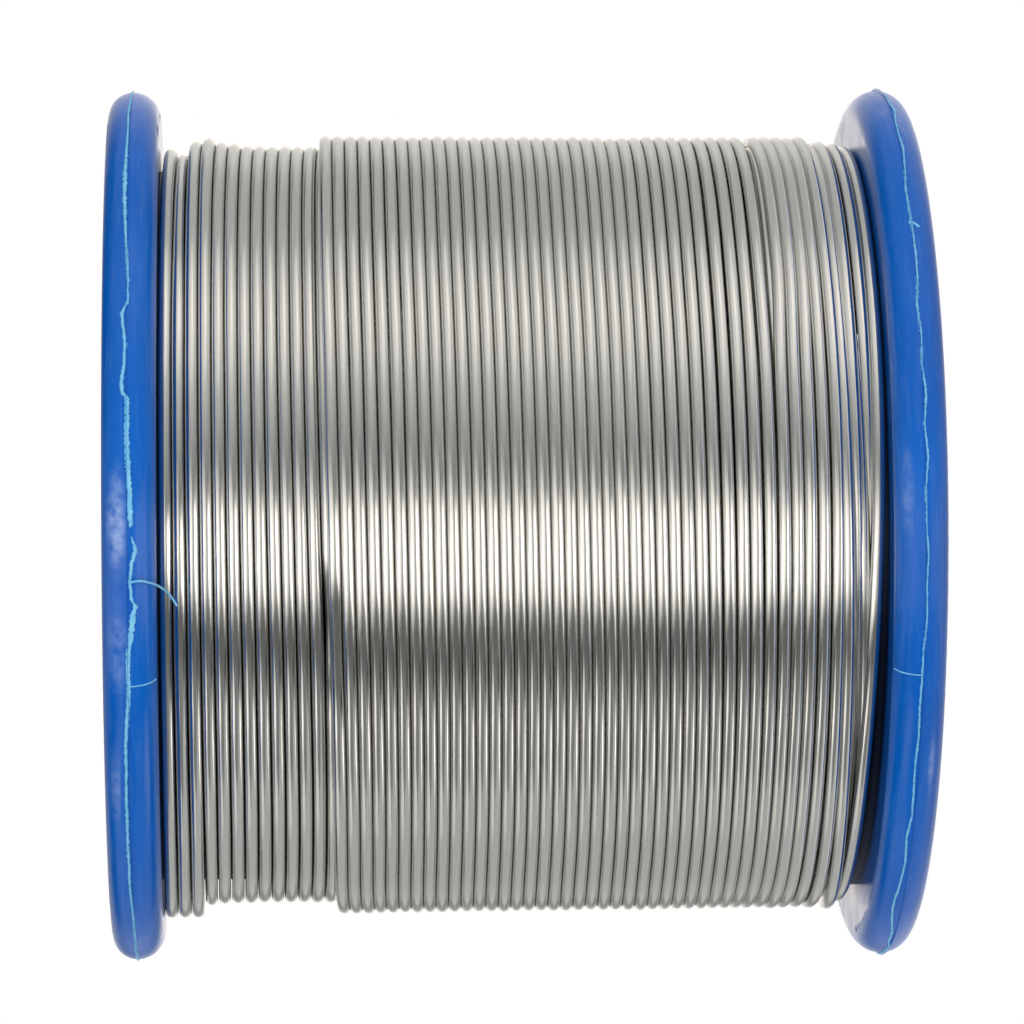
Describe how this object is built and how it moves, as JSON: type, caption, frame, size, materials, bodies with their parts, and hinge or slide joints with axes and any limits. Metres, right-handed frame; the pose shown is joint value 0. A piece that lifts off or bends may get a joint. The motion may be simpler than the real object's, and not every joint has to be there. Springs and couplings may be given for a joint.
{
  "type": "solder wire spool",
  "caption": "Cored solder wire wound side by side on a one-piece moulded reel with two round flanges and a through bore.",
  "frame": {"origin": "centre of the end face of the low flange, on the surface that the reel stands on", "axes": "+Z along the spindle bore, up through the high flange, beside which the outer layer leaves the layer beneath bare; -Y is the side that the picture shows, with the high flange to its left"},
  "size_m": [0.065, 0.065, 0.059],
  "materials": {
    "blue_plastic": "blue polypropylene as moulded, semi-gloss, with pale flash on the parting lines",
    "solder": "bright drawn solder wire with fine draw lines, slightly dulled",
    "flux": "pale amber rosin, seen only at the cut end of the wire"
  },
  "bodies": {
    "root": {"reel": "blue_plastic", "inner_layers": "solder", "bare_layer_turns": "solder", "outer_layer_turns": "solder", "wire_start": "solder", "wire_end": "solder", "flux_core": "flux"}
  },
  "joints": []
}
